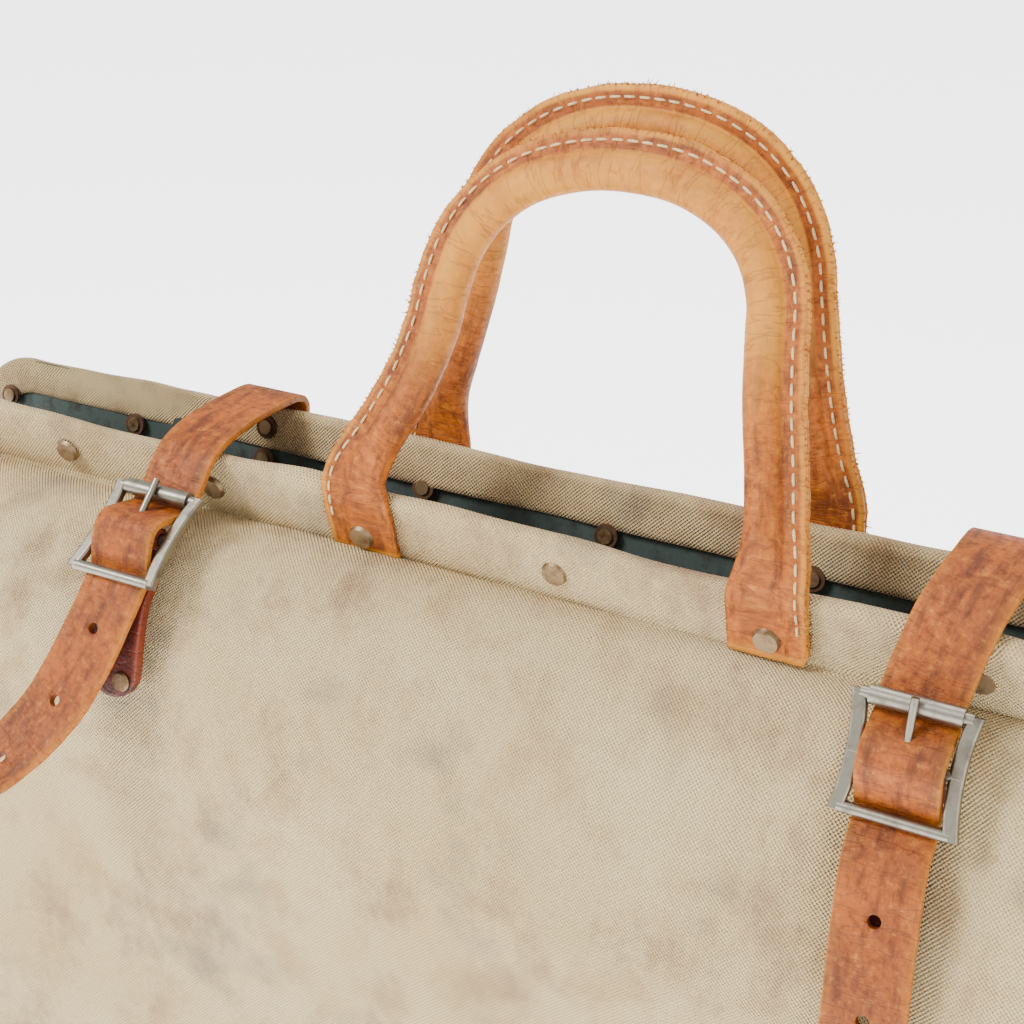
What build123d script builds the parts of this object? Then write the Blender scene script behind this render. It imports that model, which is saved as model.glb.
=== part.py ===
from build123d import *
from math import atan2, cos, degrees, hypot, radians, sin
import os

# Canvas tool bag of the doctor-bag kind, in millimetres.
# X runs along the bag, the front is -Y and +Z is up. The origin is the underside of the middle foot.
os.makedirs("parts", exist_ok=True)

# Overall sizes
BAG_LENGTH = 600.0
BAG_WIDTH = 152.0
CORNER_R = 30.0
CANVAS_T = 1.8
LEATHER_T = 2.6
GAP = 0.3

# Bottom, from the floor up
FOOT_H = 4.0
FOOT_X = 255.0
TRAY_H = 36.0
BOARD_T = 4.0
TRAY_TOP_OF_FLOOR = FOOT_H + LEATHER_T
CLOTH_Z = TRAY_TOP_OF_FLOOR + 0.1
BOARD_Z = CLOTH_Z + CANVAS_T + 0.1
BOARD_TOP = BOARD_Z + BOARD_T
PANEL_TOP = 256.0

# Mouth frame: two flat steel bars bent to a U, hinged at the ends
HINGE_Z = 268.0
HINGE_PIN_R = 2.5
KNUCKLE_R = 5.0
REST_LEAN = 14.5
BAR_HALF_LENGTH = 297.5
BAR_TOP = 91.0
BAR_WIDTH = 22.0
BAR_T = 2.0
BAR_CORNER_R = 33.0
RIM_EDGE = 2.2
RIM_BAND = 27.0
HEM_BAND = 18.0
RIM_END = 58.0
RIVET_LINE = 80.0
REAR_RIVET_LINE = 75.0

# Rivets
SHANK_R = 2.0
HOLE_R = 2.15
HEAD_R = 4.75
HEAD_H = 1.5
BURR_R = 4.4
RIM_RIVETS = (-277.0, -210.0, -140.0, 0.0, 140.0, 210.0, 277.0)
REAR_RIM_RIVETS = (-277.0, -210.0, 0.0, 210.0, 277.0)

# Handles
HANDLE_FOOT_X = 74.5
TAB_WIDTH = 27.0
TAB_TOP = 94.0
TAB_BOTTOM = 69.5
GRIP_R = 6.4
CORE_R = 4.0
FLANGE_REACH = 13.5
FLANGE_T = 4.4
ARCH_HALF = 55.0
ARCH_START = 76.0
GRIP_START = 5.0
HANDLE_HINGE_R = 96.5
HANDLE_HINGE_OUT = 4.6
FRONT_HANDLE_LEAN = 25.0
REAR_HANDLE_LEAN = -5.0

# Straps and buckles
STRAP_WIDTH = 25.4
STRAP_T = 2.8
BUCKLE_HALF = 17.0
BUCKLE_WIRE_R = 1.9
ROLLER_R = 3.0
ROLLER_BORE_R = 1.97
CHAPE_WIDTH = 23.0
CHAPE_T = 4.4
CHAPE_EYE_R = 2.1
CHAPE_LOOP_R = 4.2
TONGUE_R = 1.25


def outer_panel_outline(grow=0.0):
    """Plan of the bag's body, larger by grow all round."""
    RectangleRounded(BAG_LENGTH + 2 * grow, BAG_WIDTH + 2 * grow, CORNER_R + grow)


def finish(builder, label):
    """Names a finished piece and writes its STEP file."""
    builder.part.label = label
    export_step(builder.part, f"parts/{label}.step")


# ---------------------------------------------------------------- bottom
foot_places = [(x, y) for x in (-FOOT_X, FOOT_X) for y in (-48.0, 48.0)] + [(0.0, 0.0)]
FOOT_R = 9.0
FOOT_FLAT_R = 5.5

with BuildPart() as feet:
    with Locations(*[(x, y, 0) for x, y in foot_places]):
        Cone(FOOT_FLAT_R, FOOT_R, FOOT_H - 0.1, align=(Align.CENTER, Align.CENTER, Align.MIN))
    with Locations(*[(x, y, FOOT_H - 0.1) for x, y in foot_places]):
        Cylinder(SHANK_R, BOARD_TOP - FOOT_H + 0.2, align=(Align.CENTER, Align.CENTER, Align.MIN))
    with Locations(*[(x, y, BOARD_TOP + 0.1) for x, y in foot_places]):
        Cylinder(BURR_R, 0.9, align=(Align.CENTER, Align.CENTER, Align.MIN))
finish(feet, "feet")

tray_rivet_places = [(x, s) for x in (-240.0, -80.0, 80.0, 240.0) for s in (-1, 1)]
TRAY_RIVET_Z = 27.0

with BuildPart() as base_leather:
    with BuildSketch(Plane.XY.offset(FOOT_H)):
        outer_panel_outline(GAP + LEATHER_T)
    extrude(amount=TRAY_H - FOOT_H)
    with BuildSketch(Plane.XY.offset(TRAY_TOP_OF_FLOOR)):
        outer_panel_outline(GAP)
    extrude(amount=TRAY_H, mode=Mode.SUBTRACT)
    with Locations(*[(x, y, FOOT_H) for x, y in foot_places]):
        Cylinder(HOLE_R, 3 * LEATHER_T, mode=Mode.SUBTRACT)
    with Locations(
        *[Location((x, s * BAG_WIDTH / 2, TRAY_RIVET_Z), (90, 0, 0)) for x, s in tray_rivet_places]
    ):
        Cylinder(HOLE_R, 16, mode=Mode.SUBTRACT)
finish(base_leather, "base_leather")

with BuildPart() as base_canvas:
    with BuildSketch(Plane.XY.offset(CLOTH_Z)):
        outer_panel_outline(-CANVAS_T - 0.1)
        with Locations(*foot_places):
            Circle(HOLE_R, mode=Mode.SUBTRACT)
    extrude(amount=CANVAS_T)
finish(base_canvas, "base_canvas")

with BuildPart() as base_board:
    with BuildSketch(Plane.XY.offset(BOARD_Z)):
        outer_panel_outline(-CANVAS_T - 2.0)
        with Locations(*foot_places):
            Circle(HOLE_R, mode=Mode.SUBTRACT)
    extrude(amount=BOARD_T)
finish(base_board, "base_board")


# ---------------------------------------------------------------- canvas body
SEAM_X = BAG_LENGTH / 2 - CORNER_R


def body_wall(x_low, x_high, y_low, y_high):
    """One panel of the upright canvas wall, cut out of the body's rounded outline."""
    with BuildPart() as wall:
        with BuildSketch(Plane.XY.offset(CLOTH_Z)):
            outer_panel_outline()
            outer_inner = outer_panel_inner()
            add(outer_inner, mode=Mode.SUBTRACT)
            with Locations(((x_low + x_high) / 2, (y_low + y_high) / 2)):
                Rectangle(x_high - x_low, y_high - y_low, mode=Mode.INTERSECT)
        extrude(amount=PANEL_TOP - CLOTH_Z)
        with Locations(
            *[Location((x, s * BAG_WIDTH / 2, TRAY_RIVET_Z), (90, 0, 0)) for x, s in tray_rivet_places]
        ):
            Cylinder(HOLE_R, 16, mode=Mode.SUBTRACT)
    return wall


def outer_panel_inner():
    """Plan of the inside of the canvas wall."""
    with BuildSketch() as inner:
        outer_panel_outline(-CANVAS_T)
    return inner.sketch


front_panel = body_wall(-SEAM_X, SEAM_X, -BAG_WIDTH, 0)
finish(front_panel, "front_panel")
rear_panel = body_wall(-SEAM_X, SEAM_X, 0, BAG_WIDTH)
finish(rear_panel, "rear_panel")
gusset_left = body_wall(-BAG_LENGTH, -SEAM_X - 0.1, -BAG_WIDTH, BAG_WIDTH)
finish(gusset_left, "gusset_left")
gusset_right = body_wall(SEAM_X + 0.1, BAG_LENGTH, -BAG_WIDTH, BAG_WIDTH)
finish(gusset_right, "gusset_right")

tray_rivet_out = BAG_WIDTH / 2 + GAP + LEATHER_T + 0.1
tray_rivet_in = BAG_WIDTH / 2 - CANVAS_T - 0.1

with BuildPart() as base_rivets:
    for x, s in tray_rivet_places:
        with BuildSketch(Plane(origin=(x, s * tray_rivet_in, TRAY_RIVET_Z), z_dir=(0, s, 0))):
            Circle(SHANK_R)
        extrude(amount=tray_rivet_out - tray_rivet_in)
        with BuildSketch(Plane(origin=(x, s * tray_rivet_out, TRAY_RIVET_Z), z_dir=(0, s, 0))):
            Circle(HEAD_R)
        extrude(amount=HEAD_H, taper=25)
        with BuildSketch(Plane(origin=(x, s * tray_rivet_in, TRAY_RIVET_Z), z_dir=(0, -s, 0))):
            Circle(BURR_R)
        extrude(amount=0.9)
finish(base_rivets, "base_rivets")


# ---------------------------------------------------------------- mouth frame
lean = radians(REST_LEAN)


def frame_plane(side, out=0.0):
    """Plane of a frame half: x along the bag, y up from the hinge axis, z outwards. side is -1 front, 1 rear."""
    normal = Vector(0, side * cos(lean), -sin(lean))
    origin = Vector(0, 0, HINGE_Z) + normal * out
    return Plane(origin=origin, x_dir=(-side, 0, 0), z_dir=normal)


def along(side, xs):
    """Bag X positions in the local x of that side's frame plane."""
    return [-side * x for x in xs]


def u_band(side, out, edge, band, legs_to, holes):
    """Outline of a layer round the frame bar: edge is how far it stands past the bar, band its width."""
    half = BAR_HALF_LENGTH + edge
    top = BAR_TOP + edge
    corner = BAR_CORNER_R + edge
    with BuildSketch(frame_plane(side, out)) as outline:
        with Locations((0, top - 100)):
            RectangleRounded(2 * half, 200, corner)
        with Locations((0, top - band - 100)):
            RectangleRounded(2 * (half - band), 200, max(corner - band, 1.0), mode=Mode.SUBTRACT)
        with Locations((0, legs_to - 150)):
            Rectangle(4 * half, 300, mode=Mode.SUBTRACT)
        with Locations(*holes):
            Circle(HOLE_R, mode=Mode.SUBTRACT)
    return outline.sketch


strap_centres = {"left": -146.0, "right": 127.0}
STRAP_RIVET_ROWS = (73.5, 86.0)


def rivet_places(side):
    """Local places of every rivet through one frame half: rim, handle and, on the rear, strap rivets."""
    rim = RIM_RIVETS if side < 0 else REAR_RIM_RIVETS
    rim_places = [(x, RIVET_LINE if side < 0 else REAR_RIVET_LINE) for x in along(side, rim)]
    handle_places = [(x, RIVET_LINE - 3.0) for x in along(side, (-HANDLE_FOOT_X, HANDLE_FOOT_X))]
    strap_places = []
    if side > 0:
        strap_places = [(x, r) for x in along(side, strap_centres.values()) for r in STRAP_RIVET_ROWS]
    return rim_places, handle_places, strap_places


RIM_IN = BAR_T / 2 + 0.2
RIM_OUT = RIM_IN + CANVAS_T
LEG_X = BAR_HALF_LENGTH - BAR_WIDTH / 2
KNUCKLE_SPLIT = 0.3


def frame_bar(side):
    """Flat bar with half a knuckle rolled at each leg end. The front half has the outer knuckles."""
    rim_places, handle_places, strap_places = rivet_places(side)
    own = 1 if side < 0 else -1
    with BuildPart() as bar:
        holes = rim_places + handle_places + strap_places
        extrude(u_band(side, -BAR_T / 2, 0, BAR_WIDTH, 4.0, holes), amount=BAR_T)
        for end in (-1, 1):
            with BuildSketch(frame_plane(side, -BAR_T)):
                with Locations((end * (LEG_X - own * BAR_WIDTH / 4 - own * KNUCKLE_SPLIT / 2), 0)):
                    Rectangle(BAR_WIDTH / 2 + KNUCKLE_SPLIT, 2 * KNUCKLE_R + 2, mode=Mode.ADD)
            extrude(amount=2 * BAR_T, mode=Mode.SUBTRACT)
            middle = end * (LEG_X + own * BAR_WIDTH / 4)
            with Locations(Location((middle, 0, HINGE_Z), (0, 90, 0))):
                Cylinder(KNUCKLE_R, BAR_WIDTH / 2 - KNUCKLE_SPLIT)
            with Locations(Location((middle, 0, HINGE_Z), (0, 90, 0))):
                Cylinder(HINGE_PIN_R + 0.05, BAR_WIDTH, mode=Mode.SUBTRACT)
    return bar


def rim_canvas(side):
    """Canvas folded over the bar: outer face, top edge and the hem inside."""
    rim_places, handle_places, strap_places = rivet_places(side)
    holes = rim_places + handle_places + strap_places
    with BuildPart() as rim:
        extrude(u_band(side, RIM_IN, RIM_EDGE, RIM_BAND, RIM_END, holes), amount=CANVAS_T)
        extrude(u_band(side, -RIM_OUT, RIM_EDGE, HEM_BAND, RIM_END, holes), amount=CANVAS_T)
        extrude(u_band(side, -RIM_OUT, RIM_EDGE, RIM_EDGE - 0.3, RIM_END, []), amount=2 * RIM_OUT)
    return rim


def discs(plane, places, radius, hole=0.0):
    """Outline of a disc at each place of a plane, with a hole in it if one is given."""
    with BuildSketch(plane) as outline:
        with Locations(*places):
            Circle(radius)
            if hole:
                Circle(hole, mode=Mode.SUBTRACT)
    return outline.sketch


def rivets(side, places, seat):
    """Flat-headed rivets whose heads sit at seat and whose tails are peened over the burrs inside."""
    tail = -RIM_OUT - 1.2
    with BuildPart() as group:
        extrude(discs(frame_plane(side, tail), places, SHANK_R), amount=seat - tail)
        extrude(discs(frame_plane(side, seat), places, HEAD_R), amount=HEAD_H, taper=25)
        extrude(discs(frame_plane(side, tail), places, SHANK_R + 0.7), amount=-0.7)
    return group


def burrs(side, places):
    """Washers under the peened rivet tails."""
    with BuildPart() as group:
        extrude(discs(frame_plane(side, -RIM_OUT - 0.05), places, BURR_R, HOLE_R), amount=-1.0)
    return group


def handle_tabs(side):
    """The two flat leather ends of a handle, riveted to the outside of the rim."""
    xs = along(side, (-HANDLE_FOOT_X, HANDLE_FOOT_X))
    with BuildPart() as tabs:
        with BuildSketch(frame_plane(side, RIM_OUT + 0.1)):
            with Locations(*[(x, (TAB_TOP + TAB_BOTTOM) / 2) for x in xs]):
                RectangleRounded(TAB_WIDTH, TAB_TOP - TAB_BOTTOM, 3)
            with Locations(*[(x, RIVET_LINE - 3.0) for x in xs]):
                Circle(HOLE_R, mode=Mode.SUBTRACT)
        extrude(amount=LEATHER_T)
    return tabs


def handle_hinge(side):
    """Where a handle's leather bends: a point of the hinge line just above the rim."""
    plane = frame_plane(side)
    return plane.from_local_coords((0, HANDLE_HINGE_R, HANDLE_HINGE_OUT))


def handle_path(plane):
    """Half-width tapering legs joined by one arc, in the handle's own plane."""
    rise = ARCH_START - GRIP_START
    slope = atan2(HANDLE_FOOT_X - ARCH_HALF, rise)
    radius = ARCH_HALF / cos(slope)
    top = ARCH_START + radius * (1 - sin(slope))
    with BuildLine(plane) as path:
        Line((-HANDLE_FOOT_X, GRIP_START), (-ARCH_HALF, ARCH_START))
        ThreePointArc((-ARCH_HALF, ARCH_START), (0, top), (ARCH_HALF, ARCH_START))
        Line((ARCH_HALF, ARCH_START), (HANDLE_FOOT_X, GRIP_START))
    return path


def handle_plane(side, lean_back):
    """Plane of a handle, leaning lean_back degrees to the rear; local y runs up from the hinge line."""
    tilt = radians(lean_back)
    normal = (0, side * cos(tilt), -side * sin(tilt))
    return Plane(origin=handle_hinge(side), x_dir=(-side, 0, 0), z_dir=normal)


def grip(side, lean_back):
    """Leather rolled round the rope, its two edges sewn together as a flange on the outside of the arch."""
    plane = handle_plane(side, lean_back)
    path = handle_path(plane)
    with BuildPart() as leather:
        add(path.line, mode=Mode.PRIVATE)
        start = path.line @ 0
        outward = plane.z_dir.cross(path.line % 0)
        with BuildSketch(Plane(origin=start, x_dir=outward, z_dir=path.line % 0)):
            Circle(GRIP_R)
            with Locations((FLANGE_REACH / 2, 0)):
                Rectangle(FLANGE_REACH, FLANGE_T)
            Circle(CORE_R + 0.15, mode=Mode.SUBTRACT)
        sweep(path=path.line)
    return leather


def core(side, lean_back):
    """Rope inside the rolled leather."""
    path = handle_path(handle_plane(side, lean_back))
    with BuildPart() as rope:
        with BuildSketch(Plane(origin=path.line @ 0, z_dir=path.line % 0)):
            Circle(CORE_R)
        sweep(path=path.line)
    return rope


for side, word, lean_back in ((-1, "front", FRONT_HANDLE_LEAN), (1, "rear", -REAR_HANDLE_LEAN)):
    rim_places, handle_places, strap_places = rivet_places(side)
    finish(frame_bar(side), f"{word}_frame_bar")
    finish(rim_canvas(side), f"{word}_rim_canvas")
    finish(rivets(side, rim_places, RIM_OUT + 0.1), f"{word}_rim_rivets")
    finish(rivets(side, handle_places, RIM_OUT + 0.2 + LEATHER_T), f"{word}_handle_rivets")
    finish(burrs(side, rim_places + handle_places + strap_places), f"{word}_rivet_burrs")
    finish(handle_tabs(side), f"{word}_handle_tabs")
    finish(grip(side, lean_back), f"{word}_handle_grip")
    finish(core(side, lean_back), f"{word}_handle_core")

_, _, strap_rivet_places = rivet_places(1)
finish(rivets(1, strap_rivet_places, RIM_OUT + 1.0 + STRAP_T), "strap_rivets")

with BuildPart() as hinge_pins:
    for end in (-1, 1):
        with Locations(Location((end * LEG_X, 0, HINGE_Z), (0, 90, 0))):
            Cylinder(HINGE_PIN_R, BAR_WIDTH + 0.6)
        with Locations(Location((end * (LEG_X - BAR_WIDTH / 2 - 0.6), 0, HINGE_Z), (0, 90, 0))):
            Cylinder(HINGE_PIN_R + 1.5, 1.2)
finish(hinge_pins, "hinge_pins")


# ---------------------------------------------------------------- canvas between the body and the rims
def ribbon(points, half):
    """The two sides of a strip of even thickness 2 * half that follows points, given as (y, z)."""
    left, right = [], []
    for i in range(len(points)):
        a = points[max(i - 1, 0)]
        b = points[min(i + 1, len(points) - 1)]
        run = hypot(b[0] - a[0], b[1] - a[1])
        ny, nz = -(b[1] - a[1]) / run, (b[0] - a[0]) / run
        left.append((points[i][0] + half * ny, points[i][1] + half * nz))
        right.append((points[i][0] - half * ny, points[i][1] - half * nz))
    return left, right


def strip(points, thickness, x_low):
    """Side view of a sheet that follows points in the Y-Z plane, placed at x_low."""
    left, right = ribbon(points, thickness / 2)
    with BuildSketch(Plane.YZ.offset(x_low)) as side_view:
        with BuildLine():
            Spline(*left)
            Line(left[-1], right[-1])
            Spline(*right)
            Line(left[0], right[0])
        make_face()
    return side_view.sketch


SHOULDER_HALF = BAG_LENGTH / 2 - 24.0
shoulder_profile = [(21.3, 332.5), (32.5, 322.5), (44.5, 304.5), (56.0, 281.5), (73.0, 257.5)]

for side, word in ((-1, "front"), (1, "rear")):
    with BuildPart() as shoulder:
        profile = [(side * y, z) for y, z in shoulder_profile]
        extrude(strip(profile, CANVAS_T, -SHOULDER_HALF), amount=2 * SHOULDER_HALF)
    finish(shoulder, f"{word}_shoulder")

GUSSET_TOP = 316.0
for end, word in ((-1, "left"), (1, "right")):
    with BuildPart() as gusset_fold:
        with BuildSketch(Plane.YZ.offset(end * (BAG_LENGTH / 2 - 0.9) - 0.9)):
            with BuildLine():
                foot, top = (46, PANEL_TOP + GAP), (18, GUSSET_TOP)
                Polyline((-foot[0], foot[1]), (-top[0], top[1]), top, foot, close=True)
            make_face()
        extrude(amount=CANVAS_T)
    finish(gusset_fold, f"gusset_fold_{word}")


# ---------------------------------------------------------------- straps, chapes and buckles
buckle_seats = {
    "left": {"bar": (-59.5, 340.5), "tilt": 55.0},
    "right": {"bar": (-50.2, 328.0), "tilt": 23.0},
}
STRAP_OUT = RIM_OUT + 0.5 + STRAP_T / 2
rear_rise = [(r, STRAP_OUT) for r in (69.5, 75.5, 81.5, 87.0, 92.0)]
over_mouth = {
    "left": [(28.4, 360.2), (24.2, 364.2), (12.0, 365.2), (-10.0, 364.6), (-28.0, 359.8)],
    "right": [(28.0, 362.5), (20.5, 370.0), (6.0, 374.5), (-12.0, 373.5), (-26.5, 363.0)],
}
tails = {
    "left": [(-80.8, 312.0), (-87.0, 299.0), (-94.0, 287.0), (-102.5, 277.5), (-112.5, 270.0), (-126.0, 263.5)],
    "right": [
        (-64.5, 300.5), (-70.8, 287.0), (-76.2, 273.0), (-80.6, 259.0), (-84.4, 244.0), (-87.0, 229.0), (-89.5, 204.0)
    ],
}
spare_holes = {"left": tails["left"][0:5:2], "right": tails["right"][1:6:2]}
chape_ends = {
    "left": [(-73.2, 312.5), (-77.2, 299.5), (-80.0, 286.0)],
    "right": [(-55.5, 297.0), (-62.0, 284.0), (-67.5, 272.0)],
}


def seat_point(name, down, out):
    """A point near a buckle: down along the strap from the centre bar, out away from the bag."""
    y, z = buckle_seats[name]["bar"]
    tilt = radians(buckle_seats[name]["tilt"])
    return (y - down * sin(tilt) - out * cos(tilt), z - down * cos(tilt) + out * sin(tilt))


def seat_plane(name):
    """Plane of a buckle: local x along the bag, local y up the strap, z outwards."""
    tilt = radians(buckle_seats[name]["tilt"])
    origin = (strap_centres[name], *buckle_seats[name]["bar"])
    return Plane(origin=origin, x_dir=(1, 0, 0), z_dir=(0, -cos(tilt), sin(tilt)))


SMALL_SHANK_R = 1.5
SMALL_HEAD_R = 3.6
SMALL_HEAD_H = 1.0
BASE_RIVET_X = (-5.5, 5.5)
BUCKLE_END_X = 19.3
BUCKLE_WAIST_X = 17.4
BUCKLE_SIDE_W = 4.6
BUCKLE_SIDE_T = 3.4
CENTRE_BAR_R = 1.75
ROLLER_LENGTH = 27.4
TONGUE_EYE_R = 3.1
TONGUE_WIDTH = 4.4


def chape_plane(low, high):
    """Plane across a chape midway between two of its points, facing away from the bag."""
    y, z = (low[0] + high[0]) / 2, (low[1] + high[1]) / 2
    rise_y, rise_z = high[0] - low[0], high[1] - low[1]
    return y, z, (0, -rise_z, rise_y)


def loop_rivet_plane(name):
    """Where the rivet that closes the chape's loop goes through its two layers."""
    y, z, out = chape_plane(chape_ends[name][1], chape_ends[name][0])
    return Plane(origin=(strap_centres[name], y, z), x_dir=(1, 0, 0), z_dir=out)


def base_rivet_plane(name):
    """Where the chape's lower end is riveted to the canvas."""
    y, z, out = chape_plane(chape_ends[name][2], chape_ends[name][1])
    return Plane(origin=(strap_centres[name], y, z), x_dir=(1, 0, 0), z_dir=out)


def small_rivets(plane, xs):
    """Small flat rivets through a chape, at local x places xs of a plane in its middle."""
    places = [(x, 0) for x in xs]
    face = CHAPE_T / 2 + 0.4
    with BuildPart() as group:
        extrude(discs(plane.offset(-face), places, SMALL_SHANK_R), amount=2 * face)
        extrude(discs(plane.offset(face), places, SMALL_HEAD_R), amount=SMALL_HEAD_H, taper=25)
        extrude(discs(plane.offset(-face), places, SMALL_HEAD_R - 0.8), amount=-0.6)
    return group


base_rivet_groups = []
# Clear distances of the strap's middle from the middles of the bars it weaves between
UNDER_ROLLER = -(ROLLER_R + STRAP_T / 2 + 1.2)
OVER_CENTRE = CHAPE_LOOP_R + STRAP_T / 2 + 0.7
UNDER_BOTTOM = -(BUCKLE_WIRE_R + STRAP_T / 2 + 0.9)


def strap_line(name):
    """Centre line of a strap from its rear end over the mouth, through the buckle and down the tail."""
    rear = frame_plane(1)
    rise = [rear.from_local_coords((0, r, out)) for r, out in rear_rise]
    threaded = [
        seat_point(name, -BUCKLE_HALF - 2.0, UNDER_ROLLER),
        seat_point(name, -BUCKLE_HALF + 3.5, UNDER_ROLLER + 1.0),
        seat_point(name, -BUCKLE_HALF / 2, 0.2),
        seat_point(name, -3.2, OVER_CENTRE - 0.9),
        seat_point(name, 1.5, OVER_CENTRE),
        seat_point(name, BUCKLE_HALF / 2 - 0.5, 2.6),
        seat_point(name, BUCKLE_HALF - 3.5, UNDER_BOTTOM + 1.6),
        seat_point(name, BUCKLE_HALF + 1.5, UNDER_BOTTOM),
    ]
    return [(p.Y, p.Z) for p in rise] + over_mouth[name] + threaded + tails[name]


for name, centre in strap_centres.items():
    line = strap_line(name)
    with BuildPart() as strap:
        extrude(strip(line, STRAP_T, centre - STRAP_WIDTH / 2), amount=STRAP_WIDTH)
        rear_plane = frame_plane(1)
        for row in STRAP_RIVET_ROWS:
            with BuildSketch(frame_plane(1, RIM_OUT)):
                with Locations((-centre, row)):
                    Circle(HOLE_R)
            extrude(amount=STRAP_T + 1, mode=Mode.SUBTRACT)
        # tongue hole, then the row of spare holes down the tail
        with BuildSketch(seat_plane(name).offset(-4)):
            with Locations((0, 8.5)):
                SlotOverall(11, 4.6, rotation=90)
        extrude(amount=12, mode=Mode.SUBTRACT)
        for y, z in spare_holes[name]:
            with Locations(Location((centre, y, z), (60, 0, 0))):
                Cylinder(2.2, 4 * STRAP_T, mode=Mode.SUBTRACT)
    finish(strap, f"strap_{name}")

    with BuildPart() as chape:
        first = seat_point(name, 1.5, -(CHAPE_LOOP_R - 0.2) - CHAPE_T / 2 + 2.0)
        second = seat_point(name, BUCKLE_HALF - 7, -(BUCKLE_WIRE_R + STRAP_T + 1.0 + CHAPE_T / 2))
        third = seat_point(name, BUCKLE_HALF + 2, -(BUCKLE_WIRE_R + STRAP_T + 2.4 + CHAPE_T / 2))
        chape_line = [first, second, third] + chape_ends[name]
        extrude(strip(chape_line, CHAPE_T, centre - CHAPE_WIDTH / 2), amount=CHAPE_WIDTH)
        with Locations(Location((centre, *buckle_seats[name]["bar"]), (0, 90, 0))):
            Cylinder(CHAPE_LOOP_R, CHAPE_WIDTH)
            Cylinder(CHAPE_EYE_R, CHAPE_WIDTH + 2, mode=Mode.SUBTRACT)
        with BuildSketch(seat_plane(name).offset(-20)):
            with Locations((0, 1)):
                SlotOverall(17, 6, rotation=90)
        extrude(amount=40, mode=Mode.SUBTRACT)
        for plane, xs in ((loop_rivet_plane(name), (0.0,)), (base_rivet_plane(name), BASE_RIVET_X)):
            holes = discs(plane.offset(-CHAPE_T), [(x, 0) for x in xs], SMALL_SHANK_R + 0.15)
            extrude(holes, amount=2 * CHAPE_T, mode=Mode.SUBTRACT)
    finish(chape, f"chape_{name}")

    finish(small_rivets(loop_rivet_plane(name), (0.0,)), f"chape_rivet_{name}")
    base_rivet_groups.append(small_rivets(base_rivet_plane(name), BASE_RIVET_X).part)

    # buckle: two waisted sides joined by three round bars
    with BuildPart(seat_plane(name)) as buckle_frame:
        with BuildSketch(seat_plane(name).offset(-BUCKLE_SIDE_T / 2)):
            with BuildLine():
                top_left = (-BUCKLE_END_X, BUCKLE_HALF + 1)
                bottom_left = (-BUCKLE_END_X, -BUCKLE_HALF - 1)
                outer = ThreePointArc(top_left, (-BUCKLE_WAIST_X, 0), bottom_left)
                inner_low = Line(bottom_left, (-BUCKLE_END_X + BUCKLE_SIDE_W, -BUCKLE_HALF - 1))
                inner_top = (-BUCKLE_END_X + BUCKLE_SIDE_W, BUCKLE_HALF + 1)
                ThreePointArc(inner_low @ 1, (-BUCKLE_WAIST_X + BUCKLE_SIDE_W, 0), inner_top)
                Line(inner_top, top_left)
            make_face()
            mirror(about=Plane.YZ)
        extrude(amount=BUCKLE_SIDE_T)
        fillet(buckle_frame.edges().filter_by(Axis.X, reverse=True).filter_by(GeomType.CIRCLE), 1.0)
        for y, radius in ((BUCKLE_HALF, BUCKLE_WIRE_R), (0.0, CENTRE_BAR_R), (-BUCKLE_HALF, BUCKLE_WIRE_R)):
            with Locations(Location((0, y, 0), (0, 90, 0))):
                Cylinder(radius, 2 * BUCKLE_WAIST_X - 2)
    finish(buckle_frame, f"buckle_frame_{name}")

    with BuildPart(seat_plane(name)) as roller:
        with Locations(Location((0, BUCKLE_HALF, 0), (0, 90, 0))):
            Cylinder(ROLLER_R, ROLLER_LENGTH)
            Cylinder(ROLLER_BORE_R, ROLLER_LENGTH, mode=Mode.SUBTRACT)
    finish(roller, f"buckle_roller_{name}")

    with BuildPart(seat_plane(name)) as tongue:
        with Locations(Location((0, 0, 0), (0, 90, 0))):
            Cylinder(TONGUE_EYE_R, TONGUE_WIDTH)
        arm_start = Vector(0, 1.2, 2.0)
        arm_end = Vector(0, BUCKLE_HALF + 2.8, ROLLER_R + TONGUE_R + 0.45)
        arm_foot = seat_plane(name).from_local_coords(arm_start)
        arm_tip = seat_plane(name).from_local_coords(arm_end)
        arm_plane = Plane(origin=arm_foot, z_dir=arm_tip - arm_foot)
        extrude(discs(arm_plane, [(0, 0)], TONGUE_R), amount=(arm_end - arm_start).length)
        with Locations(Location((0, 0, 0), (0, 90, 0))):
            Cylinder(CENTRE_BAR_R + 0.07, TONGUE_WIDTH + 4, mode=Mode.SUBTRACT)
    finish(tongue, f"buckle_tongue_{name}")

with BuildPart() as chape_base_rivets:
    for group in base_rivet_groups:
        add(group)
finish(chape_base_rivets, "chape_base_rivets")
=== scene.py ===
"""Looks of an old canvas and leather doctor bag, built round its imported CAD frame."""

import math
import random

import bmesh
import bpy
import numpy as np
from mathutils import Matrix, Vector, noise


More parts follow.
